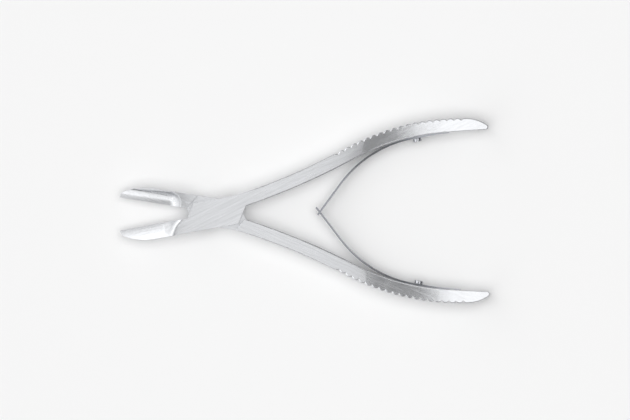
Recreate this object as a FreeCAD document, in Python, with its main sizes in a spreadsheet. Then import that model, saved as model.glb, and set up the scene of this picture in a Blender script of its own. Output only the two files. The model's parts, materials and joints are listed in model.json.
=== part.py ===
import FreeCAD, Part
import math
import os
import Sketcher
from FreeCAD import Placement, Rotation, Vector

# Bone cutting forceps: two crossed levers on one pivot screw, each with a hollow ground jaw and a
# serrated grip, held open by two leaf springs whose tips lock into each other.
# Each lever is drawn as it lies when the jaws are shut: the pivot is at the origin, the jaw runs
# along -X with its cutting edge on the X axis, the grip runs along +X above it, and Z is zero on the
# plane where the two levers meet. Lengths are in millimetres and angles in degrees.

SIZES = {
    # Levers
    "open_angle": 19.55,
    "joint_thickness": 7.6,
    "lap_clearance": 0.06,
    "shoulder_clearance": 0.35,
    "boss_half": 11.15,
    "boss_slant": 57.0,
    "boss_top": 5.2,
    "crotch_height": 0.6,
    # Jaws
    "jaw_length": 37.0,
    "jaw_height": 5.5,
    "jaw_tip_thickness": 1.25,
    "nose_radius": 3.0,
    "belly_radius": 22.8,
    "edge_gap": 0.06,
    "edge_land": 0.1,
    "rim_land": 0.3,
    "relief_slope": 0.3,
    "hollow_radius": 5.6,
    "hollow_end": 18.2,
    "bevel_radius": 18.0,
    "bevel_height": 2.6,
    "bevel_lift_angle": 42.0,
    "bevel_overshoot": 0.3,
    "taper_start": 15.5,
    # Handles
    "bend_start": 5.5,
    "bend_radius": 40.0,
    "shank_outer_radius": 234.0,
    "shank_inner_radius": 260.0,
    "grip_crown_x": 81.35,
    "grip_crown_y": 20.2,
    "grip_radius": 90.3,
    "grip_depth": 5.2,
    "end_taper": 6.3,
    "end_start": 12.0,
    "end_radius": 13.4,
    "tip_radius": 1.0,
    "waist_start": 15.0,
    "waist_length": 46.0,
    "waist_relief": 0.6,
    "end_relief_start": 88.0,
    "end_relief": 1.5,
    "notch_first": 20.9,
    "notch_pitch": 1.74,
    "notch_depth": 0.6,
    "notch_count": 19,
    # Leaf springs
    "leaf_thickness": 0.7,
    "leaf_width": 5.0,
    "leaf_tip_width": 3.0,
    "leaf_departure": 4.0,
    "leaf_radius": 44.0,
    "leaf_angle": 43.4,
    "foot_clearance": 0.05,
    "foot_end_thickness": 0.25,
    "foot_corner_radius": 1.4,
    "foot_taper_start": 1.2,
    "upper_foot_reach": 1.5,
    "lower_foot_reach": 5.3,
    "slot_leaf_overhang": 1.35,
    "tongue_overhang": 2.3,
    "tongue_width": 1.4,
    "slot_clearance": 0.15,
    # Spring screws
    "spring_screw_angle": 1.04,
    "spring_screw_radius": 0.9,
    "spring_screw_depth": 3.0,
    "spring_hole_clearance": 0.15,
    "spring_head_radius": 1.6,
    "spring_head_height": 1.3,
    "spring_head_rounding": 0.25,
    "spring_slot_width": 0.45,
    "spring_slot_depth": 0.55,
    # Pivot screw
    "pivot_radius": 2.0,
    "pivot_clearance": 0.04,
    "thread_radius": 1.6,
    "thread_length": 2.6,
    "screw_clearance": 0.03,
    "hole_end_clearance": 0.25,
    "pivot_head_radius": 3.2,
    "pivot_head_height": 1.4,
    "head_clearance": 0.15,
    "pivot_slot_width": 0.8,
    "pivot_slot_depth": 0.7,
    # How far a cutting outline reaches past what it cuts
    "overcut": 2.0,
}

WHOLE_WAY = 60.0  # a cut this deep goes through everything
GRIP_END_ANGLE = 6.0  # how far past the start of the end arc the side relief still runs

doc = FreeCAD.newDocument("bone_cutting_forceps")
sheet = doc.addObject("Spreadsheet::Sheet", "Sizes")


class Size:
    """A number together with the sheet expression that gives it."""

    def __init__(self, value, text):
        self.value = value
        self.text = text

    def __neg__(self):
        return Size(-self.value, "-(" + self.text + ")")

    def __add__(self, other):
        other = as_size(other)
        return Size(self.value + other.value, "(" + self.text + " + " + other.text + ")")

    def __sub__(self, other):
        other = as_size(other)
        return Size(self.value - other.value, "(" + self.text + " - " + other.text + ")")

    def __mul__(self, other):
        other = as_size(other)
        return Size(self.value * other.value, self.text + " * " + other.text)

    def __truediv__(self, other):
        other = as_size(other)
        return Size(self.value / other.value, self.text + " / (" + other.text + ")")


def as_size(number):
    if isinstance(number, Size):
        return number
    return Size(float(number), "(" + repr(float(number)) + ")")


def sine(angle):
    return Size(math.sin(math.radians(angle.value)), "sin(" + angle.text + ")")


def cosine(angle):
    return Size(math.cos(math.radians(angle.value)), "cos(" + angle.text + ")")


def tangent(angle):
    return Size(math.tan(math.radians(angle.value)), "tan(" + angle.text + ")")


def root(number):
    return Size(math.sqrt(number.value), "sqrt(" + number.text + ")")


def square(number):
    return number * number


rows = 0


def cell(name, content, value):
    """Writes one row of the sheet, and gives its handle."""
    global rows
    rows += 1
    sheet.set("A%d" % rows, name)
    sheet.set("B%d" % rows, content)
    sheet.setAlias("B%d" % rows, name)
    return Size(value, "Sizes." + name)


def derived(name, size):
    """A cell worked out from the driving ones."""
    return cell(name, "=" + size.text.replace("Sizes.", ""), size.value)


SHARED = {}


def derived_once(name, size):
    """A derived cell that both levers share."""
    if name not in SHARED:
        SHARED[name] = derived(name, size)
    return SHARED[name]


S = {}
for size_name, size_value in SIZES.items():
    S[size_name] = cell(size_name, str(size_value), float(size_value))


# Drawing helpers

def origin_plane(body, role):
    for feature in body.Origin.OriginFeatures:
        if feature.Role == role:
            return feature
    raise LookupError(role)


def new_body(name):
    body = doc.addObject("PartDesign::Body", name)
    body.Label = name
    return body


def new_sketch(body, name, role, base=None, axis=None, angle=None):
    """A sketch on an origin plane, moved by base (three sizes) and turned by angle about axis."""
    sketch = body.newObject("Sketcher::SketchObject", name)
    sketch.AttachmentSupport = [(origin_plane(body, role), "")]
    sketch.MapMode = "FlatFace"
    offset = Placement()
    if base:
        offset.Base = Vector(*[size.value for size in base])
    if angle:
        offset.Rotation = Rotation(axis, angle.value)
    sketch.AttachmentOffset = offset
    if base:
        for letter, size in zip("xyz", base):
            sketch.setExpression(".AttachmentOffset.Base." + letter, size.text)
    if angle:
        sketch.setExpression(".AttachmentOffset.Rotation.Angle", angle.text)
    return sketch


def bind(sketch, constraint, size):
    index = sketch.addConstraint(constraint)
    sketch.setExpression("Constraints[%d]" % index, size.text)


def pin(sketch, edge, end, x, y):
    bind(sketch, Sketcher.Constraint("DistanceX", edge, end, x.value), x)
    bind(sketch, Sketcher.Constraint("DistanceY", edge, end, y.value), y)


def arc_edge(start, end, radius, turn):
    """The short arc from start to end; turn is 1 when it runs counter-clockwise."""
    chord = end - start
    rise = math.sqrt(radius ** 2 - chord.Length ** 2 / 4)
    across = Vector(-chord.y, chord.x, 0).normalize()
    centre = (start + end) / 2 + across * rise * turn
    first, last = (start, end) if turn > 0 else (end, start)
    angles = [math.atan2(p.y - centre.y, p.x - centre.x) for p in (first, last)]
    return Part.ArcOfCircle(Part.Circle(centre, Vector(0, 0, 1), radius), angles[0], angles[1])


def trace(sketch, corners):
    """Draws a closed outline. A corner is (x, y), and (x, y, radius, turn) where an arc leaves it."""
    points = [Vector(corner[0].value, corner[1].value, 0) for corner in corners]
    ends = []
    for number, corner in enumerate(corners):
        start = points[number]
        end = points[(number + 1) % len(points)]
        if len(corner) == 2:
            edge = sketch.addGeometry(Part.LineSegment(start, end), False)
            ends.append((edge, 1, 2))
        else:
            edge = sketch.addGeometry(arc_edge(start, end, corner[2].value, corner[3]), False)
            ends.append((edge, 1, 2) if corner[3] > 0 else (edge, 2, 1))
    for number, corner in enumerate(corners):
        edge, first, last = ends[number]
        following = ends[(number + 1) % len(corners)]
        sketch.addConstraint(Sketcher.Constraint("Coincident", edge, last, following[0], following[1]))
        pin(sketch, edge, first, corner[0], corner[1])
        if len(corner) == 4:
            bind(sketch, Sketcher.Constraint("Radius", edge, corner[2].value), corner[2])


def circle(sketch, radius, x=None, y=None):
    centre = Vector(x.value if x else 0, y.value if y else 0, 0)
    edge = sketch.addGeometry(Part.Circle(centre, Vector(0, 0, 1), radius.value), False)
    bind(sketch, Sketcher.Constraint("Radius", edge, radius.value), radius)
    if x:
        pin(sketch, edge, 3, x, y)
    else:
        sketch.addConstraint(Sketcher.Constraint("Coincident", edge, 3, -1, 1))


def rectangle(sketch, left, right, bottom, top):
    trace(sketch, [(left, bottom), (right, bottom), (right, top), (left, top)])


def pad(body, name, sketch, length):
    feature = body.newObject("PartDesign::Pad", name)
    feature.Profile = sketch
    feature.SideType = "Symmetric"
    feature.setExpression("Length", length.text)
    feature.Length = length.value
    return feature


def pocket(body, name, sketch, depth, both_sides=False, reverse=False):
    """Cuts against the sketch's normal, along it when reversed, or both ways by half the depth."""
    feature = body.newObject("PartDesign::Pocket", name)
    feature.Profile = sketch
    feature.Reversed = reverse
    if both_sides:
        feature.SideType = "Symmetric"
    feature.setExpression("Length", depth.text)
    feature.Length = depth.value
    return feature


def touching_circle(name, a, a_distance, b, b_distance):
    """The centre at a_distance from point a and b_distance from point b, left of the way to b."""
    span = derived(name + "_span", root(square(b[0] - a[0]) + square(b[1] - a[1])))
    along = (square(a_distance) - square(b_distance) + square(span)) / (span * 2)
    along = derived(name + "_along", along)
    aside = derived(name + "_aside", root(square(a_distance) - square(along)))
    way_x = (b[0] - a[0]) / span
    way_y = (b[1] - a[1]) / span
    x = derived(name + "_centre_x", a[0] + along * way_x - aside * way_y)
    y = derived(name + "_centre_y", a[1] + along * way_y + aside * way_x)
    return x, y


def towards(centre, point, distance, radius):
    """The point on a circle about centre, on the line to a point at a known distance."""
    x = centre[0] + (point[0] - centre[0]) * radius / distance
    y = centre[1] + (point[1] - centre[1]) * radius / distance
    return x, y


def polar(centre, radius, angle):
    """A point on a circle, its angle taken from straight up and clockwise."""
    return centre[0] + radius * sine(angle), centre[1] + radius * cosine(angle)


# Values that several pieces share

half_thickness = derived("half_thickness", S["joint_thickness"] / 2)
half_open = derived("half_open", S["open_angle"] / 2)
edge_y = derived("edge_y", -S["edge_gap"] / 2)
lean = derived("boss_lean", as_size(1) / tangent(S["boss_slant"]))
shoulder = derived("shoulder_half", S["boss_half"] + S["shoulder_clearance"])
grip_centre_y = derived("grip_centre_y", S["grip_crown_y"] - S["grip_radius"])
grip = (S["grip_crown_x"], grip_centre_y)
grip_inner = derived("grip_inner_radius", S["grip_radius"] - S["grip_depth"])
overcut = S["overcut"]
beyond = derived("beyond_side", half_thickness + overcut)
below = derived("below_edge", S["jaw_height"] + overcut)
above = derived("above_edge", S["boss_top"] + overcut)
whole_way = as_size(WHOLE_WAY)
zero = as_size(0)


# Levers

def lever_outline():
    """The corners of a lever's outline, from the heel of the cutting edge round by the nose."""
    nose_x = derived("nose_centre_x", S["nose_radius"] - S["jaw_length"])
    bend = S["belly_radius"] - S["nose_radius"]
    drop = S["belly_radius"] - S["jaw_height"] - edge_y
    belly_x = derived("belly_centre_x", nose_x + root(square(bend) - square(drop)))
    nose_end_x = nose_x - (belly_x - nose_x) * S["nose_radius"] / bend
    nose_end_y = edge_y - drop * S["nose_radius"] / bend

    crotch = (S["boss_half"] + S["crotch_height"] * lean, S["crotch_height"])
    inner = S["shank_inner_radius"]
    inner_centre = touching_circle("shank_inner", crotch, inner, grip, inner + grip_inner)
    inner_end = towards(inner_centre, grip, inner + grip_inner, inner)

    taper = S["end_taper"]
    flat_start = polar(grip, grip_inner, taper)
    end_centre = polar(grip, S["grip_radius"] - S["end_radius"], S["end_start"])
    away_x = flat_start[0] + sine(taper) * S["tip_radius"] - end_centre[0]
    away_y = flat_start[1] + cosine(taper) * S["tip_radius"] - end_centre[1]
    ahead = derived("tip_ahead", away_x * cosine(taper) - away_y * sine(taper))
    aside = derived("tip_aside", away_x * sine(taper) + away_y * cosine(taper))
    inside = S["end_radius"] - S["tip_radius"]
    run = derived("flat_run", root(square(inside) - square(aside)) - ahead)
    flat_end = (flat_start[0] + run * cosine(taper), flat_start[1] - run * sine(taper))
    tip_x = derived("tip_centre_x", flat_end[0] + S["tip_radius"] * sine(taper))
    tip_y = derived("tip_centre_y", flat_end[1] + S["tip_radius"] * cosine(taper))
    tip_end = towards(end_centre, (tip_x, tip_y), inside, S["end_radius"])
    end_top = polar(grip, S["grip_radius"], S["end_start"])

    outer = S["shank_outer_radius"]
    bend_centre = (S["bend_start"], S["boss_top"] + S["bend_radius"])
    to_bend = outer - S["bend_radius"]
    to_grip = outer + S["grip_radius"]
    outer_centre = touching_circle("shank_outer", bend_centre, to_bend, grip, to_grip)
    outer_end = towards(outer_centre, grip, to_grip, outer)
    bend_end = towards(outer_centre, bend_centre, to_bend, outer)

    return [
        (-S["boss_half"] + edge_y * lean, edge_y),
        (-S["jaw_length"], edge_y, S["nose_radius"], 1),
        (nose_end_x, nose_end_y, S["belly_radius"], 1),
        (belly_x, -S["jaw_height"]),
        (S["boss_half"] - S["jaw_height"] * lean, -S["jaw_height"]),
        crotch + (inner, 1),
        inner_end + (grip_inner, -1),
        flat_start,
        flat_end + (S["tip_radius"], 1),
        tip_end + (S["end_radius"], 1),
        end_top + (S["grip_radius"], 1),
        outer_end + (outer, -1),
        bend_end + (S["bend_radius"], -1),
        (S["bend_start"], S["boss_top"]),
        (-S["boss_half"] + S["boss_top"] * lean, S["boss_top"]),
    ]


OUTLINE = lever_outline()


def side_relief(body):
    """Thins the shank to a waist, rounds the grip off towards its end, and tapers the jaw's back."""
    start = S["waist_start"]
    end = start + S["waist_length"]
    sag = S["waist_relief"]
    waist_radius = derived_once("waist_radius", (square(S["waist_length"] / 2) + square(sag)) / (sag * 2))
    grip_end = grip[0] + (S["grip_radius"] + S["tip_radius"]) * sine(S["end_start"] + GRIP_END_ANGLE)
    grip_end = derived_once("grip_end", grip_end)
    run = grip_end - S["end_relief_start"]
    drop = S["end_relief"]
    end_arc = derived_once("end_relief_radius", (square(run) + square(drop)) / (drop * 2))
    jaw_face = S["jaw_tip_thickness"]
    jaw_end = S["jaw_length"] + overcut

    sketch = new_sketch(body, "side_profile", "XZ_Plane")
    for side, turn in ((1, 1), (-1, -1)):
        face = half_thickness * side
        out = beyond * side
        end_face = (half_thickness - drop) * side
        trace(sketch, [(start, face, waist_radius, turn), (end, face), (end, out), (start, out)])
        trace(sketch, [
            (S["end_relief_start"], face, end_arc, -turn),
            (grip_end, end_face),
            (grip_end, out),
            (S["end_relief_start"], out),
        ])
    back = -half_thickness
    trace(sketch, [(-S["taper_start"], back), (-jaw_end, -jaw_face), (-jaw_end, -beyond), (-S["taper_start"], -beyond)])
    doc.recompute()
    pocket(body, "side_relief", sketch, whole_way, both_sides=True)


def bevel_section(body, name, x, height):
    """The section of the jaw's sloping front in a sketch whose level line is at that height."""
    low = -S["jaw_height"] - overcut * 2
    radius = S["bevel_radius"]
    span = derived_once("bevel_span", root(square(S["jaw_height"]) + square(S["bevel_height"])))
    aside = derived_once("bevel_aside", root(square(radius) - square(span / 2)))
    centre_y = -S["jaw_height"] / 2 - aside * S["bevel_height"] / span
    centre_z = S["bevel_height"] / 2 - aside * S["jaw_height"] / span
    centre_y = derived_once("bevel_centre_y", centre_y)
    centre_z = derived_once("bevel_centre_z", centre_z)
    low_z = centre_z + root(square(radius) - square(low - centre_y))
    edge_z = centre_z + root(square(radius) - square(centre_y))
    sketch = new_sketch(body, name, "YZ_Plane", (zero, height[0], x))
    trace(sketch, [
        (zero, edge_z - height[1], radius, 1),
        (low, low_z - height[1]),
        (low, S["joint_thickness"] - height[1]),
        (zero, S["joint_thickness"] - height[1]),
    ])
    return sketch


def bevel(body):
    """The sloping front of the jaw, which lifts in a smooth double curve into the face of the boss."""
    angle = S["bevel_lift_angle"]
    lift = half_thickness + S["bevel_overshoot"]
    radius = derived_once("bevel_lift_radius", lift / 2 / (as_size(1) - cosine(angle)))
    lift_start = derived_once("bevel_lift_start", -S["boss_half"] - radius * sine(angle) * 2)

    sketch = bevel_section(body, "bevel_profile", lift_start, (zero, zero))
    doc.recompute()
    pocket(body, "bevel", sketch, S["jaw_length"] + overcut + lift_start)
    for name, x, height in (
        ("bevel_lift", lift_start, (radius, radius)),
        ("bevel_level_out", -S["boss_half"], (lift - radius, -radius)),
    ):
        sketch = bevel_section(body, name + "_profile", x, height)
        doc.recompute()
        groove = body.newObject("PartDesign::Groove", name)
        groove.Profile = sketch
        groove.ReferenceAxis = (sketch, ["H_Axis"])
        groove.Reversed = True
        groove.Angle = angle.value
        groove.setExpression("Angle", angle.text)
        doc.recompute()


def relief(body):
    """The slanted facet between the rim and the lap shoulder on the hollow side."""
    rim = -S["jaw_height"] + S["rim_land"]
    reach = S["jaw_height"] + overcut
    sketch = new_sketch(body, "relief_section", "YZ_Plane", (zero, zero, -S["jaw_length"] - overcut))
    trace(sketch, [
        (rim, -half_thickness),
        (rim, -beyond),
        (rim + reach, -beyond),
        (rim + reach, -half_thickness + reach * S["relief_slope"]),
    ])
    doc.recompute()
    pocket(body, "relief", sketch, S["jaw_length"] + overcut - S["boss_half"] / 2, reverse=True)


def hollow(body):
    """The hollow grind: a round trough along the cutting edge with a ball end near the joint."""
    radius = S["hollow_radius"]
    axis_z = -(radius + S["edge_land"])
    end = -S["hollow_end"]
    start = -S["jaw_length"] - overcut
    sketch = new_sketch(body, "hollow_profile", "XZ_Plane")
    trace(sketch, [
        (start, axis_z),
        (end + radius, axis_z, radius, 1),
        (end, axis_z + radius),
        (start, axis_z + radius),
    ])
    doc.recompute()
    groove = body.newObject("PartDesign::Groove", "hollow")
    groove.Profile = sketch
    groove.ReferenceAxis = (sketch, ["Edge1"])
    groove.Angle = 360
    return groove


def lap(body):
    """The lap recess, half the thickness deep, with the two slanted shoulders."""
    sketch = new_sketch(body, "lap_outline", "XY_Plane", (zero, zero, S["lap_clearance"] / 2))
    trace(sketch, [
        (-shoulder - overcut * lean, overcut),
        (-shoulder + below * lean, -below),
        (shoulder + overcut * lean, -below),
        (shoulder + overcut * lean, -overcut),
        (shoulder - above * lean, above),
        (-shoulder - overcut * lean, above),
    ])
    doc.recompute()
    pocket(body, "lap_recess", sketch, beyond)


def spring_seat(body):
    """The blind hole for the spring's screw, square to the inner face of the grip."""
    angle = S["spring_screw_angle"]
    x, y = polar(grip, grip_inner - overcut, -angle)
    sketch = new_sketch(body, "spring_hole", "XZ_Plane", (x, zero, -y), Vector(0, 1, 0), angle)
    circle(sketch, S["spring_screw_radius"] + S["screw_clearance"])
    doc.recompute()
    depth = S["spring_screw_depth"] + S["hole_end_clearance"] - S["leaf_thickness"] + overcut
    pocket(body, "spring_bore", sketch, depth)


def serrations(body):
    """Sharp notches with rounded crests between them, stepped round the centre of the grip arc."""
    pitch = S["notch_pitch"]
    first = S["notch_first"]
    radius = S["grip_radius"]
    half_chord = radius * sine(pitch / 2)
    bump = (square(half_chord) + square(S["notch_depth"])) / (S["notch_depth"] * 2)
    bump = derived_once("bump_radius", bump)
    crest = radius * cosine(pitch / 2)
    sketch = new_sketch(body, "notch_profile", "XY_Plane", (grip[0], grip[1], zero), Vector(0, 0, 1), first)
    trace(sketch, [
        (-half_chord, crest, bump, -1),
        (zero, crest - S["notch_depth"], bump, -1),
        (half_chord, crest),
        (half_chord * 1.5, crest + overcut),
        (half_chord * -1.5, crest + overcut),
    ])
    doc.recompute()
    cut = pocket(body, "notch", sketch, S["joint_thickness"] + overcut, both_sides=True)
    doc.recompute()
    pattern = body.newObject("PartDesign::PolarPattern", "serrations")
    pattern.Originals = [cut]
    pattern.Axis = (sketch, ["N_Axis"])
    pattern.Reversed = True
    pattern.setExpression("Angle", (pitch * (S["notch_count"] - 1)).text)
    pattern.Occurrences = int(S["notch_count"].value)
    pattern.setExpression("Occurrences", S["notch_count"].text)
    body.Tip = pattern
    return pattern


def lever(name):
    body = new_body(name)
    outline = new_sketch(body, "lever_outline", "XY_Plane")
    trace(outline, OUTLINE)
    doc.recompute()
    pad(body, "blank", outline, S["joint_thickness"])
    doc.recompute()
    side_relief(body)
    doc.recompute()
    bevel(body)
    doc.recompute()
    relief(body)
    doc.recompute()
    hollow(body)
    doc.recompute()
    lap(body)
    doc.recompute()
    spring_seat(body)
    doc.recompute()
    serrations(body)
    doc.recompute()
    return body


front_lever = lever("front_lever")
thread_hole = new_sketch(front_lever, "thread_circle", "XY_Plane")
circle(thread_hole, S["thread_radius"] + S["screw_clearance"])
doc.recompute()
pocket(front_lever, "thread_hole", thread_hole, S["thread_length"] + S["hole_end_clearance"], reverse=True)

rear_lever = lever("rear_lever")
bore = new_sketch(rear_lever, "bore_circle", "XY_Plane")
circle(bore, S["pivot_radius"] + S["pivot_clearance"])
doc.recompute()
pocket(rear_lever, "pivot_bore", bore, whole_way, both_sides=True)
head_plane = (zero, zero, half_thickness - S["pivot_head_height"] - S["head_clearance"] * 2)
seat = new_sketch(rear_lever, "head_seat_circle", "XY_Plane", head_plane)
circle(seat, S["pivot_head_radius"] + S["head_clearance"])
doc.recompute()
pocket(rear_lever, "head_seat", seat, beyond, reverse=True)
doc.recompute()

# Leaf springs

leaf = S["leaf_thickness"]
foot = derived("foot_radius", grip_inner - S["foot_clearance"])
foot_inside = derived("foot_inside_radius", foot - leaf)
leaf_centre = polar(grip, foot - leaf / 2 - S["leaf_radius"], -S["leaf_departure"])
leaf_centre = (derived("leaf_centre_x", leaf_centre[0]), derived("leaf_centre_y", leaf_centre[1]))
straight = polar(leaf_centre, S["leaf_radius"], -S["leaf_angle"])
tilt = tangent(half_open)
down_the_leaf = sine(S["leaf_angle"]) + tilt * cosine(S["leaf_angle"])
crossing = derived("crossing_length", (straight[1] + tilt * straight[0]) / down_the_leaf)
crossing_x = derived("crossing_x", straight[0] - crossing * cosine(S["leaf_angle"]))
crossing_y = derived("crossing_y", straight[1] - crossing * sine(S["leaf_angle"]))
tongue_half = derived("tongue_half", S["tongue_width"] / 2)
shoulder_x = crossing_x + (leaf + S["slot_clearance"]) * cosine(S["leaf_angle"])
screw_x, screw_y = polar(grip, foot_inside - S["foot_clearance"], -S["spring_screw_angle"])
screw_x = derived("spring_screw_x", screw_x)
screw_y = derived("spring_screw_y", screw_y)


def leaf_profile(reach, overhang):
    """The edge view of a leaf: its foot lies along the grip and the leaf curls away from it."""
    taper = S["end_taper"]
    flat = polar(grip, foot, taper)
    end = (flat[0] + reach * cosine(taper), flat[1] - reach * sine(taper))
    thin = S["foot_end_thickness"]
    end_inside = (end[0] - thin * sine(taper), end[1] - thin * cosine(taper))
    outside = S["leaf_radius"] + leaf / 2
    inside = S["leaf_radius"] - leaf / 2
    out_x, out_y = polar(leaf_centre, outside, -S["leaf_angle"])
    in_x, in_y = polar(leaf_centre, inside, -S["leaf_angle"])
    along = crossing + overhang
    tip_x = along * cosine(S["leaf_angle"])
    tip_y = along * sine(S["leaf_angle"])
    return end[0], [
        end,
        flat + (foot, 1),
        polar(grip, foot, -S["leaf_departure"]) + (outside, 1),
        (out_x, out_y),
        (out_x - tip_x, out_y - tip_y),
        (in_x - tip_x, in_y - tip_y),
        (in_x, in_y, inside, -1),
        polar(grip, foot_inside, -S["leaf_departure"]) + (foot_inside, -1),
        polar(grip, foot_inside, S["foot_taper_start"]),
        end_inside,
    ]


def leaf_spring(name, reach, overhang, tongued):
    body = new_body(name)
    end_x, profile = leaf_profile(reach, overhang)
    side = new_sketch(body, "leaf_profile", "XY_Plane")
    trace(side, profile)
    doc.recompute()
    pad(body, "leaf", side, S["leaf_width"])
    doc.recompute()

    wide = S["leaf_width"] / 2
    narrow = S["leaf_tip_width"] / 2
    root_x = grip[0] - foot * sine(S["leaf_departure"])
    far_x = crossing_x - overhang - overcut
    corner = S["foot_corner_radius"]
    width = new_sketch(body, "leaf_width_profile", "XZ_Plane")
    for face, turn in ((1, -1), (-1, 1)):
        out = beyond * face
        taper = [(root_x, wide * face), (shoulder_x, narrow * face)]
        if tongued:
            taper += [(shoulder_x, tongue_half * face), (far_x, tongue_half * face)]
        else:
            taper += [(far_x, narrow * face)]
        trace(width, taper + [(far_x, out), (root_x, out)])
        trace(width, [
            (end_x - corner, wide * face, corner, turn),
            (end_x, (wide - corner) * face),
            (end_x + overcut, (wide - corner) * face),
            (end_x + overcut, out),
            (end_x - corner, out),
        ])
    doc.recompute()
    pocket(body, "leaf_taper", width, whole_way, both_sides=True)
    doc.recompute()

    angle = S["spring_screw_angle"]
    hole_x, hole_y = polar(grip, foot, -angle)
    hole = new_sketch(body, "screw_hole", "XZ_Plane", (hole_x, zero, -hole_y), Vector(0, 1, 0), angle)
    circle(hole, S["spring_screw_radius"] + S["spring_hole_clearance"])
    doc.recompute()
    pocket(body, "screw_bore", hole, overcut * 2, both_sides=True)
    doc.recompute()

    if not tongued:
        lean_over = as_size(90) - S["leaf_angle"] - S["open_angle"]
        place = (crossing_x, zero, -crossing_y)
        slot = new_sketch(body, "slot_outline", "XZ_Plane", place, Vector(0, 1, 0), lean_over)
        half_length = leaf / 2 + S["slot_clearance"]
        half_width = tongue_half + S["slot_clearance"]
        rectangle(slot, -half_length, half_length, -half_width, half_width)
        doc.recompute()
        pocket(body, "slot", slot, overcut * 2, both_sides=True)
        doc.recompute()
    return body


upper_spring = leaf_spring("upper_spring", S["upper_foot_reach"], S["slot_leaf_overhang"], False)
lower_spring = leaf_spring("lower_spring", S["lower_foot_reach"], S["tongue_overhang"], True)


# Screws

def slotted_screw(name, profile, slot_width, slot_depth, face, head_radius, down):
    """A turned screw about Z with one driver slot across its head."""
    body = new_body(name)
    turned = new_sketch(body, "half_section", "XZ_Plane")
    trace(turned, profile)
    doc.recompute()
    revolution = body.newObject("PartDesign::Revolution", "turned")
    revolution.Profile = turned
    revolution.ReferenceAxis = (turned, ["V_Axis"])
    revolution.Angle = 360
    doc.recompute()
    slot = new_sketch(body, "driver_slot", "XY_Plane", (zero, zero, face))
    long_half = head_radius + overcut
    rectangle(slot, -slot_width / 2, slot_width / 2, -long_half, long_half)
    doc.recompute()
    pocket(body, "driver_cut", slot, slot_depth, reverse=down)
    doc.recompute()
    return body


def spring_screw(name):
    shank = S["spring_screw_radius"]
    head = S["spring_head_radius"]
    high = S["spring_head_height"]
    rounded = S["spring_head_rounding"]
    return slotted_screw(name, [
        (zero, -S["spring_screw_depth"]),
        (shank, -S["spring_screw_depth"]),
        (shank, zero),
        (head, zero),
        (head, high - rounded, rounded, 1),
        (head - rounded, high),
        (zero, high),
    ], S["spring_slot_width"], S["spring_slot_depth"], high, head, False)


upper_spring_screw = spring_screw("upper_spring_screw")
lower_spring_screw = spring_screw("lower_spring_screw")

head_face = S["head_clearance"] - half_thickness
head_under = head_face + S["pivot_head_height"]
pivot_screw = slotted_screw("pivot_screw", [
    (zero, head_face),
    (S["pivot_head_radius"], head_face),
    (S["pivot_head_radius"], head_under),
    (S["pivot_radius"], head_under),
    (S["pivot_radius"], zero),
    (S["thread_radius"], zero),
    (S["thread_radius"], S["thread_length"]),
    (zero, S["thread_length"]),
], S["pivot_slot_width"], S["pivot_slot_depth"], head_face, S["pivot_head_radius"], True)


# Placement of what belongs to each lever, with the jaws open and the joint's back at Z zero

raised = "vector(0; 0; Sizes.half_thickness)"
turned = "rotation(vector(0; 0; 1); %sSizes.half_open)"
FRONT = "placement(" + raised + "; " + turned % "" + ")"
REAR = "placement(" + raised + "; " + turned % "-" + " * rotation(vector(1; 0; 0); 180))"
SCREW = (
    " * placement(vector(Sizes.spring_screw_x; Sizes.spring_screw_y; 0); "
    "rotation(vector(0; 0; 1); Sizes.spring_screw_angle) * rotation(vector(1; 0; 0); 90))"
)
for body, place in (
    (front_lever, FRONT),
    (pivot_screw, FRONT),
    (upper_spring, FRONT),
    (upper_spring_screw, FRONT + SCREW),
    (rear_lever, REAR),
    (lower_spring, REAR),
    (lower_spring_screw, REAR + SCREW),
):
    body.setExpression("Placement", place)
doc.recompute()


def fault(item):
    shape = getattr(item, "Shape", None)
    if "Invalid" in item.State or "Error" in item.State:
        return item.Name + " failed: " + ", ".join(item.State)
    if shape is not None and item.TypeId == "PartDesign::Body" and (shape.isNull() or not shape.isValid()):
        return item.Name + " has no valid shape"
    return ""


faults = [text for text in map(fault, doc.Objects) if text]
if faults:
    raise RuntimeError("; ".join(faults))

os.makedirs("parts", exist_ok=True)
for item in doc.Objects:
    if item.TypeId == "PartDesign::Body":
        item.Shape.exportStep("parts/%s.step" % item.Label)
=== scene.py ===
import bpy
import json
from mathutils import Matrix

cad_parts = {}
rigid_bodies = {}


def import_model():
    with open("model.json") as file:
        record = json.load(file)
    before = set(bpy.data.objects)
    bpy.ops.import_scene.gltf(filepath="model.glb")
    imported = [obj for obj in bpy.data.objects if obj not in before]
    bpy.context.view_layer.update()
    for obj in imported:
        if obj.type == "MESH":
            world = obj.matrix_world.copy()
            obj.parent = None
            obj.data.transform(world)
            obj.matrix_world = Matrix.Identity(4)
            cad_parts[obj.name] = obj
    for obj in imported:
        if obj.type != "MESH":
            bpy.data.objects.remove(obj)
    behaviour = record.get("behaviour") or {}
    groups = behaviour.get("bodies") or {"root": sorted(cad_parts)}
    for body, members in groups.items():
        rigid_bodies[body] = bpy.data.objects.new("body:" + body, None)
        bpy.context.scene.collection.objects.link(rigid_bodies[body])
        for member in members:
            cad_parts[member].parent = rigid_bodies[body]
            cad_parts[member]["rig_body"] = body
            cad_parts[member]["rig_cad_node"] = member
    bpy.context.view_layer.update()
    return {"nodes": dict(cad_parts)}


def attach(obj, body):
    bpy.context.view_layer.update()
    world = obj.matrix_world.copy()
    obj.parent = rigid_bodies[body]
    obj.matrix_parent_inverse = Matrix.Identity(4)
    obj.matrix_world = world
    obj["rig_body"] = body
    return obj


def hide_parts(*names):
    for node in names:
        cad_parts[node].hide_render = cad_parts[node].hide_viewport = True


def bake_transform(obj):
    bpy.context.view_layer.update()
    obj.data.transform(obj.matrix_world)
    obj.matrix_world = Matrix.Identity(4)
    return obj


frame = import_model()        # the nodes of the imported part

import json
import math

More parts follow.
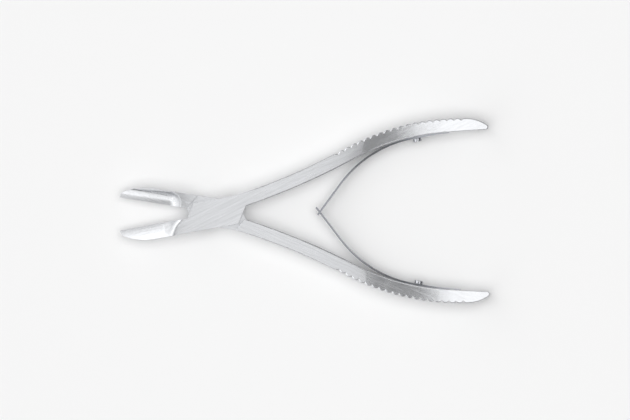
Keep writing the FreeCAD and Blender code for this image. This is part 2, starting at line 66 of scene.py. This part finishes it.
import bpy
from mathutils import Matrix, Vector

MM = 0.001
MID_HEIGHT = 3.8 * MM    # the plane where the two levers meet

# The instrument as it is drawn with its jaws shut, pivot at the origin, in metres and degrees
HALF_OPEN = 9.775
GRIP_CENTRE = Vector((81.35, -70.1, 0)) * MM
FOOT_RADIUS = 85.05 * MM
FOOT_END = 6.3
LEAF_START = 4.0
LEAF_RADIUS = 44.0 * MM
LEAF_END = 43.4
LEAF_THICK = 0.7 * MM
LEAF_WIDE = 5.0 * MM
LEAF_NARROW = 3.0 * MM
SCREW_ANGLE = 1.04
FOOT_TAPER = 1.2
FOOT_THIN = 0.25 * MM
FOOT_CORNER = 1.4 * MM
TONGUE_WIDE = 1.4 * MM
SLOT_ROOM = 0.15 * MM
SHOULDER = LEAF_THICK + SLOT_ROOM    # from the shoulder to where the leaves cross
LEAF_HOLE = 1.05 * MM
TONGUE_SLANT = 0.12 * MM    # the leaf's shoulder slopes a little into its tongue
UPPER_REACH = 1.5 * MM      # how far each foot runs on behind its arc
LOWER_REACH = 5.3 * MM
UPPER_OVERHANG = 1.35 * MM  # how far each tip runs on past the crossing
LOWER_OVERHANG = 2.3 * MM
LEAF_EDGE = 0.07 * MM       # the broken edges of the leaves and of the screws
SCREW_EDGE = 0.05 * MM
CUTTER_DEPTH = 4 * MM       # deep enough to cut right through a leaf
CUTTER_WIDTH = 6 * MM
FACE_HEIGHT = 3.8 * MM      # from the middle plane to a lever's outer face
BOSS_HALF = 11.15 * MM
JAW_HEIGHT = 5.5 * MM

# The jaw's front: a crowned section that lifts in a double curve into the face of the boss
SECTION_RADIUS = 18.0 * MM
SECTION_HEIGHT = 2.6 * MM
SECTION_SPAN = math.hypot(JAW_HEIGHT, SECTION_HEIGHT)
SECTION_ASIDE = math.sqrt(SECTION_RADIUS ** 2 - SECTION_SPAN ** 2 / 4)
SECTION_Y = -JAW_HEIGHT / 2 - SECTION_ASIDE * SECTION_HEIGHT / SECTION_SPAN
SECTION_Z = SECTION_HEIGHT / 2 - SECTION_ASIDE * JAW_HEIGHT / SECTION_SPAN
LIFT_ANGLE = 42.0
LIFT_OVER = 0.3 * MM
LEAST_RISE = 16.0
FADE_START = -22.2 * MM
FADE_END = -8.5 * MM
FADE_STEP = 0.5 * MM
FADE_DEPTH = 1.0 * MM
FADE_MARGIN = 0.25 * MM
FADE_LOWEST = -9.0 * MM
FADE_LEAST = 0.3            # the share of the depth that is left at the cutting edge
OVER_MIDDLE = 0.1 * MM      # the jaw's front lies higher than this over the middle plane
FACING = 0.5                # the least share of a normal that points outwards on the jaw's front
LEVEL = 0.9                 # and on a level face

# The levers' rounded edges, slight on the jaws and the boss and full along the shanks and grips
EDGE_WIDTH = 0.45 * MM
SMALL_SHARE = 0.22
ROUND_START = 6.0 * MM
SHANK_START = 20 * MM
CUTTING_END = -11.0 * MM
CUTTING_HALF = 0.2 * MM
LEAST_FOLD = 30             # in degrees, and flatter folds stay as they are
SHANK_SLICES = (15 * MM, 60 * MM, 3 * MM)
RELIEF_SLICES = (88 * MM, 102 * MM, 1 * MM)

# Meshes
MERGE_WITHIN = 0.002 * MM
SAME_PLACE = 0.01 * MM
FLAT_WITHIN = 0.4           # degrees between faces that count as one flat face
SMOOTH_WITHIN = 40          # degrees between faces that are shaded as one
LEAF_FOLD = 40
SCREW_FOLD = 50
FOOT_STEPS = 12
BEND_STEPS = 32
STRAIGHT_STEPS = 10
END_STEPS = 3

# Steel: its colours and its grain
STEEL = (0.70, 0.71, 0.73)
LEAF_STEEL = (0.34, 0.35, 0.38)
SCREW_STEEL = (0.50, 0.51, 0.54)
DARK_STREAK = 0.92
LIGHT_STREAK = 1.05
COARSE_GRAIN = (70, 1400, 1400)
FINE_GRAIN = (160, 6000, 6000)
FINE_SHARE = 0.45
STREAK_LOW = 0.36           # the part of the noise's range that the streaks are stretched from
STREAK_HIGH = 0.64
GRAIN_STRENGTH = 0.25
GRAIN_SHEEN = 0.6           # the share of the sheen's spread that follows the grain
LEVER_TURN = 25             # degrees from X to the grain of the levers


# Working with meshes

def free_selection():
    """Leaves edit mode with nothing selected."""
    if bpy.context.mode != "OBJECT":
        bpy.ops.object.mode_set(mode="OBJECT")
    bpy.ops.object.select_all(action="DESELECT")


def take(piece):
    """Makes a piece the only one selected and active."""
    free_selection()
    piece.select_set(True)
    bpy.context.view_layer.objects.active = piece


def edit(piece, kind="EDGE"):
    """Opens a piece in edit mode with nothing selected."""
    take(piece)
    bpy.ops.object.mode_set(mode="EDIT")
    bpy.ops.mesh.select_mode(type=kind)
    bpy.ops.mesh.select_all(action="DESELECT")


def done():
    """Closes edit mode."""
    bpy.ops.object.mode_set(mode="OBJECT")


def fold_angles(mesh):
    """How far the surface turns over each edge, in degrees, and zero at an open one."""
    faces = {}
    for face in mesh.polygons:
        for key in face.edge_keys:
            faces.setdefault(key, []).append(face.normal)
    folds = []
    for item in mesh.edges:
        normals = faces.get(tuple(sorted(item.vertices)), [])
        folds.append(math.degrees(normals[0].angle(normals[1], 0)) if len(normals) == 2 else 0)
    return folds


def pick_edges(piece, wanted):
    """Selects the edges that a test of both ends and the fold angle wants. Edit mode, edge select."""
    done()
    mesh = piece.data
    folds = fold_angles(mesh)
    for item in [*mesh.vertices, *mesh.polygons]:
        item.select = False
    for item, fold in zip(mesh.edges, folds):
        a, b = (mesh.vertices[v].co for v in item.vertices)
        item.select = bool(wanted(a, b, fold))
    bpy.ops.object.mode_set(mode="EDIT")


def apply_modifier(piece, kind, **settings):
    """Adds a modifier with its settings and applies it."""
    take(piece)
    modifier = piece.modifiers.new(kind.lower(), kind)
    for name, value in settings.items():
        setattr(modifier, name, value)
    bpy.ops.object.modifier_apply(modifier=modifier.name)


def smooth(piece):
    """Smooth shading, each corner weighted by area, so that large faces stay flat beside rounded edges."""
    take(piece)
    bpy.ops.object.shade_smooth()
    mesh = piece.data
    around = {}
    for face in mesh.polygons:
        for corner in face.vertices:
            around.setdefault(corner, []).append(face)
    least = math.cos(math.radians(SMOOTH_WITHIN))
    normals = []
    for face in mesh.polygons:
        for corner in face.vertices:
            total = Vector()
            for other in around[corner]:
                if other.normal.dot(face.normal) > least:
                    total += other.normal * (other.area / MM ** 2)
            normals.append(total.normalized())
    mesh.normals_split_custom_set(normals)


def finish_material(piece, material):
    """Gives a piece this material and no other."""
    piece.data.materials.clear()
    piece.data.materials.append(material)


# Levers and screws: the CAD forms with their doubles merged and their edges broken

def softened(node, name):
    """A copy of a CAD node whose flat faces are whole again."""
    source = frame["nodes"][node]
    piece = source.copy()
    piece.data = source.data.copy()
    piece.name = name
    piece.data.name = name
    piece.parent = None
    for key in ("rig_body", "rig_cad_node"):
        if key in piece:
            del piece[key]
    bpy.context.scene.collection.objects.link(piece)
    edit(piece, "VERT")
    bpy.ops.mesh.select_all(action="SELECT")
    bpy.ops.mesh.remove_doubles(threshold=MERGE_WITHIN)
    bpy.ops.mesh.dissolve_limited(angle_limit=math.radians(FLAT_WITHIN))
    done()
    return piece


def drawn(point, front):
    """A point of the closed drawing from a point of the open instrument."""
    turn = Matrix.Rotation(math.radians(-HALF_OPEN if front else HALF_OPEN), 4, "Z")
    point = turn @ (point - Vector((0, 0, MID_HEIGHT)))
    return point if front else Vector((point.x, -point.y, -point.z))


def pick_faces(piece, wanted):
    """Selects the faces that a test of the centre and the normal wants. Edit mode, face select."""
    done()
    mesh = piece.data
    for item in [*mesh.vertices, *mesh.edges]:
        item.select = False
    for face in mesh.polygons:
        face.select = bool(wanted(face.center, face.normal))
    bpy.ops.object.mode_set(mode="EDIT")


def one_face(piece, wanted):
    """Joins neighbouring faces that a test of centre and normal wants, and keeps all their corners."""
    chosen = {face.index for face in piece.data.polygons if wanted(face.center, face.normal)}
    sides = {}
    for face in piece.data.polygons:
        for key in face.edge_keys:
            sides.setdefault(key, []).append(face.index in chosen)
    edit(piece)
    done()      # this leaves edge select on, with nothing selected
    for item in piece.data.edges:
        item.select = sides[tuple(sorted(item.vertices))] == [True, True]
    bpy.ops.object.mode_set(mode="EDIT")
    bpy.ops.mesh.dissolve_edges(use_verts=False)
    done()


def slice_faces(piece, front, places, across, wanted):
    """Cuts the wanted faces along planes at these places along the drawing's X, or its Y when across."""
    side = 1 if front else -1
    turn = Matrix.Rotation(math.radians(HALF_OPEN * side), 3, "Z")
    normal = turn @ (Vector((0, side, 0)) if across else Vector((1, 0, 0)))
    edit(piece, "FACE")
    for place in places:
        pick_faces(piece, wanted)
        bpy.ops.mesh.bisect(plane_co=normal * place, plane_no=normal, threshold=SAME_PLACE)
    done()


def jaw_front(x, y):
    """Height of the jaw's front above the middle plane, with the crease before the boss faded out."""
    section = SECTION_Z + math.sqrt(SECTION_RADIUS ** 2 - (min(y, 0) - SECTION_Y) ** 2)
    lift = FACE_HEIGHT + LIFT_OVER
    steep = math.radians(LIFT_ANGLE)
    radius = lift / 2 / (1 - math.cos(steep))
    start = -BOSS_HALF - radius * math.sin(steep) * 2
    if x < start + (radius - section) * math.sin(steep):
        turn = math.asin(min(max((x - start) / (radius - section), 0), 1))
        height = radius - (radius - section) * math.cos(turn)
    else:
        turn = math.asin(max((-BOSS_HALF - x) / (radius + section), math.sin(math.radians(LEAST_RISE))))
        height = lift - radius + (radius + section) * math.cos(turn)
        height += (x + BOSS_HALF + (radius + section) * math.sin(turn)) * math.tan(turn)
    depth = FADE_DEPTH * min(FADE_LEAST - y / JAW_HEIGHT, 1)
    near = max(depth - abs(height - FACE_HEIGHT), 0)
    return min(height, FACE_HEIGHT) - near * near / (4 * depth)


def fade_crease(piece, front):
    """Remakes the front of the jaw's heel as an even grid, so that it runs into the boss with no line."""
    side = 1 if front else -1

    def outside(centre, normal):
        return normal.z * side > FACING and drawn(centre, front).z > OVER_MIDDLE

    def heel(centre, normal):
        place = drawn(centre, front)
        below = place.y < -FADE_MARGIN or place.x < -BOSS_HALF - FADE_MARGIN
        return outside(centre, normal) and FADE_START < place.x < FADE_END and below

    slice_faces(piece, front, (FADE_START, FADE_END, -BOSS_HALF - FADE_MARGIN), False, outside)
    slice_faces(piece, front, (-FADE_MARGIN,), True, outside)
    one_face(piece, heel)
    slice_faces(piece, front, steps(FADE_START, FADE_END, FADE_STEP)[1:-1], False, heel)
    slice_faces(piece, front, steps(FADE_LOWEST, -FADE_STEP, FADE_STEP), True, heel)
    mesh = piece.data
    surface = set()
    for face in mesh.polygons:
        if heel(face.center, face.normal):
            surface.update(face.vertices)
    for number in surface:
        place = drawn(mesh.vertices[number].co, front)
        mesh.vertices[number].co.z = MID_HEIGHT + side * jaw_front(place.x, place.y)


def steps(first, last, size):
    """Places from the first to the last, evenly spaced at about this size."""
    count = round((last - first) / size)
    return [first + (last - first) * number / count for number in range(count + 1)]


def break_edges(piece, width, weight, segments=3):
    """Rounds a piece's edges, each by its own share of the width: weight(a, b, fold) gives the share."""
    mesh = piece.data
    folds = fold_angles(mesh)
    shares = mesh.attributes.new("bevel_weight_edge", "FLOAT", "EDGE")
    for item, fold in zip(mesh.edges, folds):
        a, b = (mesh.vertices[v].co for v in item.vertices)
        shares.data[item.index].value = weight(a, b, fold)
    apply_modifier(piece, "BEVEL", limit_method="WEIGHT", width=width, segments=segments,
                   use_clamp_overlap=False, loop_slide=True)


def lever(node, name, front):
    """A lever with a faded crease before its boss, rounded edges and its cutting edge left sharp."""
    piece = softened(node, name)
    fade_crease(piece, front)

    def outer(centre, normal):
        outside = abs(centre.z - MID_HEIGHT) > FACE_HEIGHT / 2
        return abs(normal.z) > LEVEL and outside and drawn(centre, front).x > FADE_END

    one_face(piece, outer)

    def share(a, b, fold):
        if fold < LEAST_FOLD:
            return 0
        a, b = drawn(a, front), drawn(b, front)
        middle = (a + b) / 2
        if middle.x < CUTTING_END and max(abs(a.y), abs(b.y)) < CUTTING_HALF:
            return 0        # the cutting edge stays sharp
        far_out = min(abs(a.z), abs(b.z)) > FACE_HEIGHT / 2
        level = (b - a).xy.length > abs(b.z - a.z)
        if not (far_out and level):
            return 0 if middle.x > SHANK_START else SMALL_SHARE
        way = min(max((middle.x - ROUND_START) / (SHANK_START - ROUND_START), 0), 1)
        return SMALL_SHARE + (1 - SMALL_SHARE) * way * way * (3 - 2 * way)

    break_edges(piece, EDGE_WIDTH, share)
    slice_faces(piece, front, steps(*SHANK_SLICES), False, outer)
    slice_faces(piece, front, steps(*RELIEF_SLICES), False, outer)
    smooth(piece)
    return piece


# Shader groups

def new_group(name, inputs, outputs):
    """A node group with its inputs (label, kind, default) and outputs (label, kind)."""
    group = bpy.data.node_groups.new(name, "ShaderNodeTree")
    for label, kind, default in inputs:
        socket = group.interface.new_socket(label, in_out="INPUT", socket_type=kind)
        socket.default_value = default
    for label, kind in outputs:
        group.interface.new_socket(label, in_out="OUTPUT", socket_type=kind)
    return group, group.nodes.new("NodeGroupInput"), group.nodes.new("NodeGroupOutput")


def node(tree, kind, values=None, **settings):
    """A new node with values on its inputs and its own settings."""
    made = tree.nodes.new(kind)
    for name, value in settings.items():
        setattr(made, name, value)
    for name, value in (values or {}).items():
        made.inputs[name].default_value = value
    return made


def brushed_grain():
    """Fine straight grain: long streaks along X, from a few octaves of stretched noise."""
    group, given, out = new_group(
        "brushed grain",
        [("Place", "NodeSocketVector", (0, 0, 0))],
        [("Streaks", "NodeSocketFloat"), ("Height", "NodeSocketFloat")],
    )
    link = group.links.new
    coarse = node(group, "ShaderNodeVectorMath", operation="MULTIPLY")
    coarse.inputs[1].default_value = COARSE_GRAIN
    fine = node(group, "ShaderNodeVectorMath", operation="MULTIPLY")
    fine.inputs[1].default_value = FINE_GRAIN
    link(given.outputs["Place"], coarse.inputs[0])
    link(given.outputs["Place"], fine.inputs[0])
    broad = node(group, "ShaderNodeTexNoise", {"Scale": 1.0, "Detail": 3.0, "Roughness": 0.6})
    thin = node(group, "ShaderNodeTexNoise", {"Scale": 1.0, "Detail": 2.0, "Roughness": 0.5})
    link(coarse.outputs[0], broad.inputs["Vector"])
    link(fine.outputs[0], thin.inputs["Vector"])
    mix = node(group, "ShaderNodeMix", {"Factor": FINE_SHARE}, data_type="FLOAT")
    link(broad.outputs["Fac"], mix.inputs["A"])
    link(thin.outputs["Fac"], mix.inputs["B"])
    contrast = node(group, "ShaderNodeMapRange", {"From Min": STREAK_LOW, "From Max": STREAK_HIGH})
    link(mix.outputs["Result"], contrast.inputs["Value"])
    link(contrast.outputs["Result"], out.inputs["Streaks"])
    link(mix.outputs["Result"], out.inputs["Height"])
    return group


def handling():
    """Soft blotches left by wiping and handling, from two sizes of noise."""
    group, given, out = new_group(
        "handling marks",
        [("Place", "NodeSocketVector", (0, 0, 0)), ("Size", "NodeSocketFloat", 90.0)],
        [("Blotches", "NodeSocketFloat")],
    )
    link = group.links.new
    large = node(group, "ShaderNodeTexNoise", {"Detail": 4.0, "Roughness": 0.55, "Distortion": 0.6})
    link(given.outputs["Place"], large.inputs["Vector"])
    link(given.outputs["Size"], large.inputs["Scale"])
    spread = node(group, "ShaderNodeMapRange", {"From Min": 0.3, "From Max": 0.7})
    link(large.outputs["Fac"], spread.inputs["Value"])
    link(spread.outputs["Result"], out.inputs["Blotches"])
    return group


GRAIN = brushed_grain()
HANDLING = handling()


def steel(name, colour, roughness, spread, turn, grain_depth):
    """Stainless steel with grain that runs at an angle of turn to X, and handling marks in its sheen."""
    material = bpy.data.materials.new(name)
    material.use_nodes = True
    tree = material.node_tree
    link = tree.links.new
    shader = tree.nodes["Principled BSDF"]
    shader.inputs["Metallic"].default_value = 1.0
    place = node(tree, "ShaderNodeTexCoord")
    along = node(tree, "ShaderNodeMapping", {"Rotation": (0, 0, math.radians(turn))})
    link(place.outputs["Object"], along.inputs["Vector"])
    grain = node(tree, "ShaderNodeGroup", node_tree=GRAIN)
    link(along.outputs["Vector"], grain.inputs["Place"])
    marks = node(tree, "ShaderNodeGroup", node_tree=HANDLING)
    link(place.outputs["Object"], marks.inputs["Place"])

    tone = node(tree, "ShaderNodeMix", data_type="RGBA")
    tone.inputs["A"].default_value = (*[part * DARK_STREAK for part in colour], 1)
    tone.inputs["B"].default_value = (*[part * LIGHT_STREAK for part in colour], 1)
    link(grain.outputs["Streaks"], tone.inputs["Factor"])
    link(tone.outputs["Result"], shader.inputs["Base Color"])

    sheen = node(tree, "ShaderNodeMath", operation="MULTIPLY_ADD")
    sheen.inputs[1].default_value = spread
    sheen.inputs[2].default_value = roughness - spread / 2
    link(marks.outputs["Blotches"], sheen.inputs[0])
    rough = node(tree, "ShaderNodeMath", operation="MULTIPLY_ADD")
    rough.inputs[1].default_value = spread * GRAIN_SHEEN
    link(grain.outputs["Streaks"], rough.inputs[0])
    link(sheen.outputs[0], rough.inputs[2])
    link(rough.outputs[0], shader.inputs["Roughness"])

    relief = node(tree, "ShaderNodeBump", {"Strength": GRAIN_STRENGTH, "Distance": grain_depth})
    link(grain.outputs["Height"], relief.inputs["Height"])
    link(relief.outputs["Normal"], shader.inputs["Normal"])
    return material


front_steel = steel(
    "front_lever_steel", STEEL, roughness=0.22, spread=0.08, turn=-LEVER_TURN, grain_depth=0.03 * MM)
rear_steel = steel(
    "rear_lever_steel", STEEL, roughness=0.22, spread=0.08, turn=LEVER_TURN, grain_depth=0.03 * MM)
leaf_steel = steel(
    "leaf_steel", LEAF_STEEL, roughness=0.2, spread=0.06, turn=0, grain_depth=0.02 * MM)
screw_steel = steel(
    "screw_steel", SCREW_STEEL, roughness=0.22, spread=0.06, turn=0, grain_depth=0.02 * MM)


# The pieces

front = lever("front_lever", "front_lever_dressed", True)
rear = lever("rear_lever", "rear_lever_dressed", False)
for piece, node_name, body, material in (
    (front, "front_lever", "front_half", front_steel),
    (rear, "rear_lever", "rear_half", rear_steel),
):
    finish_material(piece, material)
    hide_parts(node_name)
    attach(piece, body)


def screw(node_name, name, body):
    """A CAD screw with its edges broken, riding on a body."""
    piece = softened(node_name, name)
    break_edges(piece, SCREW_EDGE, lambda a, b, fold: float(fold > SCREW_FOLD), 2)
    smooth(piece)
    finish_material(piece, screw_steel)
    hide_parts(node_name)
    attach(piece, body)
    return piece


screw("pivot_screw", "pivot_screw_dressed", "front_half")
screw("upper_spring_screw", "upper_spring_screw_dressed", "front_half")
screw("lower_spring_screw", "lower_spring_screw_dressed", "rear_half")


# Leaf springs

def arc_point(centre, radius, angle):
    """A point on a circle, its angle taken from straight up and clockwise."""
    angle = math.radians(angle)
    return centre + Vector((math.sin(angle), math.cos(angle), 0)) * radius


def run(offset, count):
    """Extrudes the selected end face in equal steps."""
    for _ in range(count):
        bpy.ops.mesh.extrude_region_move(TRANSFORM_OT_translate={"value": offset / count})


def spin(centre, angle, count):
    """Sweeps the selected end face round a centre. With no window the operator turns the other way."""
    bpy.ops.mesh.spin(steps=count, angle=math.radians(-angle), center=centre, axis=(0, 0, 1))


def cut(piece, cutter):
    """Takes a cutter's form out of a piece."""
    apply_modifier(piece, "BOOLEAN", operation="DIFFERENCE", solver="EXACT", object=cutter)
    bpy.data.objects.remove(cutter)


LEAF_CENTRE = arc_point(GRIP_CENTRE, FOOT_RADIUS - LEAF_THICK / 2 - LEAF_RADIUS, -LEAF_START)
LEAF_WAY = Vector((-math.cos(math.radians(LEAF_END)), -math.sin(math.radians(LEAF_END)), 0))
STRAIGHT = arc_point(LEAF_CENTRE, LEAF_RADIUS, -LEAF_END)
TILT = math.tan(math.radians(HALF_OPEN))
CROSSING = (STRAIGHT.y + TILT * STRAIGHT.x) / -(LEAF_WAY.y + TILT * LEAF_WAY.x)
CROSSING_POINT = STRAIGHT + LEAF_WAY * CROSSING


def leaf(name, reach, overhang, tongued):
    """A leaf spring swept from the end of its foot to its tip, in the closed drawing."""
    lean = math.radians(FOOT_END)
    along = Vector((math.cos(lean), -math.sin(lean), 0))
    across = Vector((math.sin(lean), math.cos(lean), 0))
    start = arc_point(GRIP_CENTRE, FOOT_RADIUS - LEAF_THICK / 2, FOOT_END) + along * reach

    free_selection()
    bpy.ops.mesh.primitive_plane_add(size=1, rotation=(0, math.radians(90), 0))
    piece = bpy.context.active_object
    piece.name = piece.data.name = name
    bpy.ops.object.transform_apply()
    edit(piece, "FACE")
    bpy.ops.mesh.select_all(action="SELECT")
    bpy.ops.transform.resize(value=(1, LEAF_THICK, LEAF_WIDE))
    done()
    piece.matrix_world = Matrix.Translation(start) @ Matrix.Rotation(-lean, 4, "Z")
    bpy.ops.object.transform_apply()
    edit(piece, "FACE")
    bpy.ops.mesh.select_all(action="SELECT")
    run(-along * reach, END_STEPS)
    spin(GRIP_CENTRE, FOOT_END + LEAF_START, FOOT_STEPS)
    spin(LEAF_CENTRE, LEAF_END - LEAF_START, BEND_STEPS)
    run(LEAF_WAY * (CROSSING - SHOULDER), STRAIGHT_STEPS)
    if tongued:
        run(LEAF_WAY * TONGUE_SLANT, 1)
        bpy.ops.transform.resize(value=(1, 1, TONGUE_WIDE / LEAF_NARROW))
    run(LEAF_WAY * (SHOULDER + overhang - (TONGUE_SLANT if tongued else 0)), END_STEPS)
    bpy.ops.mesh.select_all(action="SELECT")
    bpy.ops.mesh.normals_make_consistent(inside=False)
    done()

    root = arc_point(GRIP_CENTRE, FOOT_RADIUS, -LEAF_START).x
    shoulder = (CROSSING_POINT - LEAF_WAY * SHOULDER).x
    for corner in piece.data.vertices:
        # the leaf narrows from its root to its shoulder
        share = min(max((root - corner.co.x) / (root - shoulder), 0), 1)
        corner.co.z *= 1 + share * (LEAF_NARROW / LEAF_WIDE - 1)
        # the foot is ground thin towards its end
        out = corner.co - GRIP_CENTRE
        turn = math.degrees(math.atan2(out.x, out.y))
        if out.length < FOOT_RADIUS - LEAF_THICK / 2 and turn > FOOT_TAPER:
            share = (turn - FOOT_TAPER) / (FOOT_END + math.degrees(reach / FOOT_RADIUS) - FOOT_TAPER)
            corner.co += out.normalized() * (LEAF_THICK - FOOT_THIN) * min(share, 1)

    edit(piece)
    end = start + across * (LEAF_THICK / 2)

    def foot_corner(a, b, fold):
        at_end = min((a - end).xy.dot(along.xy), (b - end).xy.dot(along.xy)) > -SAME_PLACE
        return at_end and abs(a.z - b.z) < SAME_PLACE

    pick_edges(piece, foot_corner)
    bpy.ops.mesh.bevel(offset=FOOT_CORNER, segments=6, affect="EDGES", clamp_overlap=False)
    done()

    free_selection()
    axis = arc_point(Vector((0, 0, 0)), 1, -SCREW_ANGLE)
    bpy.ops.mesh.primitive_cylinder_add(
        vertices=32, radius=LEAF_HOLE, depth=CUTTER_DEPTH,
        location=arc_point(GRIP_CENTRE, FOOT_RADIUS, -SCREW_ANGLE),
        rotation=Vector((0, 0, 1)).rotation_difference(axis).to_euler(),
    )
    cut(piece, bpy.context.active_object)
    if not tongued:
        free_selection()
        bpy.ops.mesh.primitive_cube_add(
            size=1, location=CROSSING_POINT, rotation=(0, 0, math.radians(90 - LEAF_END - 2 * HALF_OPEN)),
        )
        slot = bpy.context.active_object
        slot.scale = (LEAF_THICK + 2 * SLOT_ROOM, CUTTER_WIDTH, TONGUE_WIDE + 2 * SLOT_ROOM)
        cut(piece, slot)

    edit(piece)
    pick_edges(piece, lambda a, b, fold: fold > LEAF_FOLD)
    bpy.ops.mesh.bevel(offset=LEAF_EDGE, segments=2, affect="EDGES", clamp_overlap=True)
    done()
    return piece


def hang(piece, front):
    """Puts a piece of the closed drawing where it lies on the open instrument."""
    raised = Matrix.Translation((0, 0, MID_HEIGHT))
    if front:
        piece.matrix_world = raised @ Matrix.Rotation(math.radians(HALF_OPEN), 4, "Z")
    else:
        turned = Matrix.Rotation(math.radians(-HALF_OPEN), 4, "Z")
        piece.matrix_world = raised @ turned @ Matrix.Rotation(math.pi, 4, "X")
    take(piece)
    bpy.ops.object.transform_apply()


for name, side, reach, overhang, front_side in (
    ("upper_leaf_spring", 1, UPPER_REACH, UPPER_OVERHANG, True),
    ("lower_leaf_spring", -1, LOWER_REACH, LOWER_OVERHANG, False),
):
    piece = leaf(name, reach, overhang, not front_side)
    hang(piece, front_side)
    smooth(piece)
    finish_material(piece, leaf_steel)
    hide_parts("upper_spring" if front_side else "lower_spring")
    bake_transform(piece)


# Floor, light and camera

FLOOR_SIZE = 4
FLOOR_DROP = 0.02 * MM
FLOOR_TONE = 0.92
FLOOR_ROUGHNESS = 0.8
CEILING_HEIGHT = 1.2
CEILING_SIZE = 1.6
CEILING_POWER = 13.0
PANEL_HEIGHT = 0.07

# The room's brightness by the Z of a direction: to the sides, and beyond the jaws
FLANK = ((0.0, 0.01), (0.3, 0.02), (0.6, 0.12), (0.83, 0.45), (0.93, 0.36), (1.0, 0.28))
END = ((0.0, 1.1), (0.3, 1.2), (0.6, 1.2), (0.8, 1.0), (0.93, 0.5), (1.0, 0.28))
END_FROM = -0.3             # the X of a direction where the end wall begins and where it is full
END_FULL = -0.65

VIEW_WIDE = 0.2384
VIEW_CENTRE = (0.0374, 0.0008)
VIEW_HEIGHT = 0.6
VIEW_ROLL = -0.5527
VIEW_REACH = 10


def area_light(name, place, aim, size, power):
    """A rectangular light that the camera doesn't see."""
    light = bpy.data.lights.new(name, "AREA")
    light.shape = "RECTANGLE"
    light.size, light.size_y = size
    light.energy = power
    holder = bpy.data.objects.new(name, light)
    holder.location = place
    holder.rotation_euler = (Vector(aim) - Vector(place)).to_track_quat("-Z", "Y").to_euler()
    holder.visible_camera = False
    bpy.context.scene.collection.objects.link(holder)
    return holder


free_selection()
bpy.ops.mesh.primitive_plane_add(size=FLOOR_SIZE, location=(0.04, 0, -FLOOR_DROP))
floor = bpy.context.active_object
floor.name = "floor"
paper = bpy.data.materials.new("pale_floor")
paper.use_nodes = True
paper_shader = paper.node_tree.nodes["Principled BSDF"]
paper_shader.inputs["Base Color"].default_value = (FLOOR_TONE, FLOOR_TONE, FLOOR_TONE, 1)
paper_shader.inputs["Roughness"].default_value = FLOOR_ROUGHNESS
paper_shader.inputs["Specular IOR Level"].default_value = 0.0
floor.data.materials.append(paper)

# A broad ceiling light for the floor, which the steel doesn't mirror
ceiling = area_light(
    "ceiling", (0.04, 0.0, CEILING_HEIGHT), (0.04, 0, 0), (CEILING_SIZE, CEILING_SIZE), CEILING_POWER)
ceiling.visible_glossy = False

# Panels close to the instrument, which only the steel mirrors: where each stands, what it aims at, its
# size, its brightness and its turn about Z. The gap between the joint's panel and the grips' gives the
# long flat faces their dark middle, and the last two light the slope and the hollow of the jaws.
for name, place, aim, size, level, turn in (
    ("panel_joint", (0.015, 0.0, PANEL_HEIGHT), (0.015, 0, 0), (0.070, 0.16), 0.70, 7.6),
    ("panel_upper", (0.030, 0.034, PANEL_HEIGHT), (0.030, 0.034, 0), (0.036, 0.050), 0.48, 0),
    ("panel_grips", (0.108, 0.0, PANEL_HEIGHT), (0.108, 0, 0), (0.060, 0.20), 1.10, 7.6),
    ("panel_heel", (-0.065, 0.0, PANEL_HEIGHT), (-0.065, 0, 0), (0.070, 0.10), 0.60, 0),
    ("panel_slope", (-0.0367, 0.059, 0.062), (-0.025, -0.009, 0.004), (0.060, 0.070), 1.10, 0),
    ("panel_hollow", (-0.041, -0.075, 0.055), (-0.025, 0.006, 0.004), (0.060, 0.070), 1.20, 0),
):
    panel = area_light(name, place, aim, size, level * math.pi * size[0] * size[1])
    panel.visible_diffuse = False
    if turn:
        panel.rotation_euler = (0, 0, math.radians(turn))

# The room that the steel mirrors: grey overhead, white beyond the jaws, dark along both sides
world = bpy.data.worlds.new("studio")
bpy.context.scene.world = world
world.use_nodes = True
dome = world.node_tree
way = node(dome, "ShaderNodeTexCoord")
parts = node(dome, "ShaderNodeSeparateXYZ")
dome.links.new(way.outputs["Generated"], parts.inputs[0])


def dome_ramp(source, stops):
    """Grey levels along a value, from pairs of place and level."""
    ramp = node(dome, "ShaderNodeValToRGB")
    while len(ramp.color_ramp.elements) < len(stops):
        ramp.color_ramp.elements.new(0.5)
    for stop, (place, level) in zip(ramp.color_ramp.elements, stops):
        stop.position = place
        stop.color = (level, level, level, 1)
    dome.links.new(source, ramp.inputs["Fac"])
    return ramp.outputs["Color"]


flank = dome_ramp(parts.outputs["Z"], FLANK)
end_wall = dome_ramp(parts.outputs["Z"], END)
towards_end = node(dome, "ShaderNodeMapRange", {"From Min": END_FROM, "From Max": END_FULL},
                   interpolation_type="SMOOTHSTEP")
dome.links.new(parts.outputs["X"], towards_end.inputs["Value"])
room = node(dome, "ShaderNodeMix", data_type="RGBA")
dome.links.new(towards_end.outputs["Result"], room.inputs["Factor"])
dome.links.new(flank, room.inputs["A"])
dome.links.new(end_wall, room.inputs["B"])
dome.links.new(room.outputs["Result"], dome.nodes["Background"].inputs["Color"])

camera_data = bpy.data.cameras.new("camera")
camera_data.type = "ORTHO"
camera_data.ortho_scale = VIEW_WIDE
camera_data.clip_end = VIEW_REACH
camera = bpy.data.objects.new("camera", camera_data)
camera.location = (*VIEW_CENTRE, VIEW_HEIGHT)
camera.rotation_euler = (0, 0, math.radians(VIEW_ROLL))
bpy.context.scene.collection.objects.link(camera)
bpy.context.scene.camera = camera
bpy.context.scene.view_settings.view_transform = "Standard"

free_selection()
bpy.context.view_layer.update()
